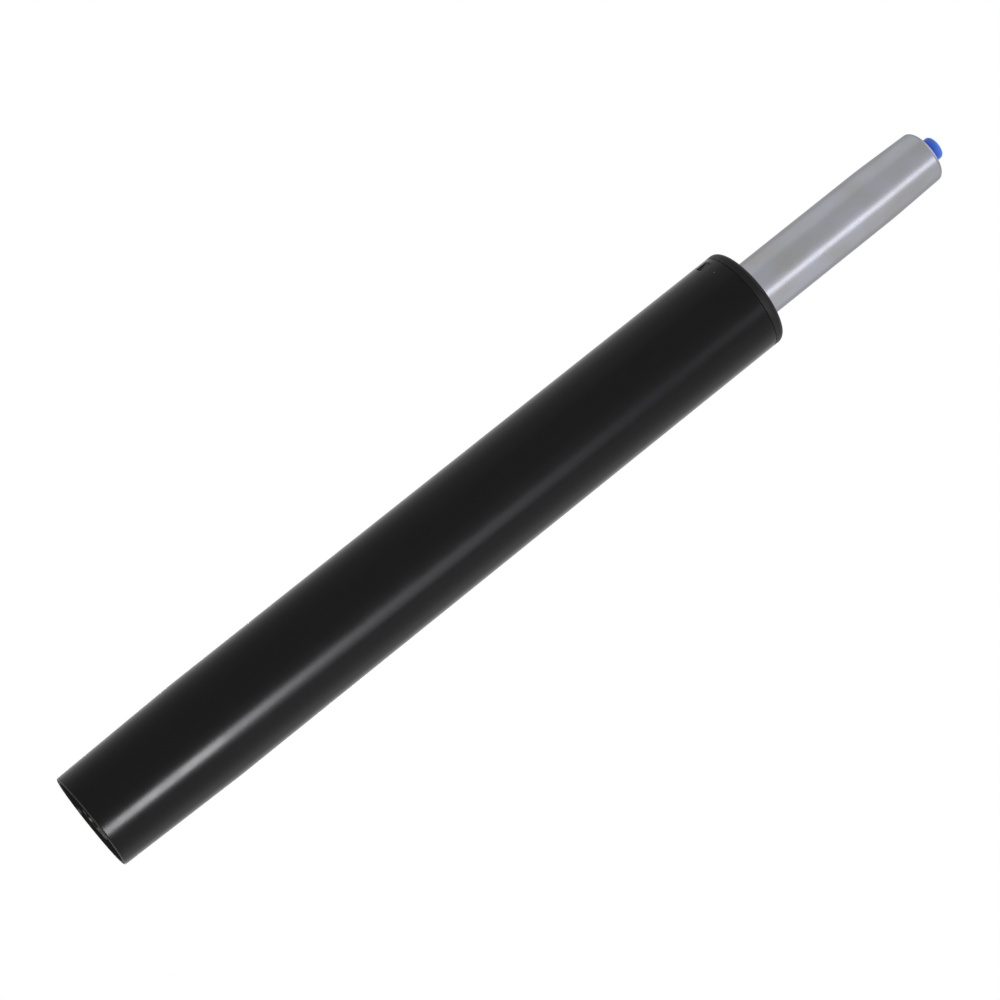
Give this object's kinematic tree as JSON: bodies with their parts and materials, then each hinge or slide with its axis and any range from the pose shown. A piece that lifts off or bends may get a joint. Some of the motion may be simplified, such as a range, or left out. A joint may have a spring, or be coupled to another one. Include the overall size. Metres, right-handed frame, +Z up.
{
  "type": "chair gas lift cylinder",
  "caption": "Long-stroke chair gas lift: black tapered stand tube with a plastic guide collar, silver-grey pressure tube with a seat taper, and a blue release button on top.",
  "frame": {"origin": "centre of the stand tube's mouth, in the plane that the lift stands on", "axes": "+Z up along the lift's axis towards the release button; the snap windows of the stand tube face +X and -X"},
  "size_m": [0.05, 0.05, 0.4974],
  "materials": {
    "black_enamel": "satin black powder coat",
    "black_acetal": "fine moulded grain",
    "zinc_steel": "zinc plate, dulled by old grease",
    "bearing_steel": "ground and hardened",
    "cage_brass": "pressed",
    "chromed_rod": "hard chrome",
    "spring_steel": "phosphated and oiled spring steel",
    "plain_steel": "turned",
    "silver_enamel": "satin silver-grey coat",
    "black_rubber": "moulded",
    "white_acetal": "turned",
    "valve_brass": "turned",
    "blue_button": "moulded, satin gloss"
  },
  "bodies": {
    "stand": {"stand_tube": "black_enamel", "guide_bush": "black_acetal", "base_plate": "black_enamel", "lower_race": "bearing_steel"},
    "bearing": {"ball_cage": "cage_brass", "bearing_balls": "bearing_steel"},
    "rod": {"piston_rod": "chromed_rod", "upper_race": "bearing_steel", "bumper": "black_rubber", "clip_washer": "zinc_steel", "retaining_clip": "spring_steel", "piston_washer": "plain_steel", "piston": "white_acetal", "piston_seal": "black_rubber", "piston_retainer": "plain_steel"},
    "lift_column": {"pressure_tube": "silver_enamel", "inner_tube": "plain_steel", "end_washer": "plain_steel", "rod_seal": "black_rubber", "seal_washer": "plain_steel", "rod_guide": "white_acetal", "valve_body": "valve_brass", "valve_outer_seal": "black_rubber", "inner_tube_seal": "black_rubber", "valve_pin_seals": "black_rubber"},
    "release": {"release_button": "blue_button", "valve_pin": "plain_steel"}
  },
  "joints": [
    {"name": "swivel", "type": "hinge", "parent": "stand", "child": "rod", "pos_m": [0, 0, 0.012], "axis": [0, 0, 1], "continuous": true},
    {"name": "cage_roll", "type": "hinge", "parent": "stand", "child": "bearing", "pos_m": [0, 0, 0.012], "axis": [0, 0, 1], "continuous": true},
    {"name": "lift", "type": "slide", "parent": "rod", "child": "lift_column", "axis": [0, 0, 1], "range_m": [0, 0.26]},
    {"name": "release", "type": "slide", "parent": "lift_column", "child": "release", "axis": [0, 0, -1], "range_m": [0, 0.004], "stiffness_N_per_m": 2500, "springref_m": -0.004}
  ],
  "couplings": [
    {"joint": "cage_roll", "follows": "swivel", "ratio": 0.5}
  ]
}
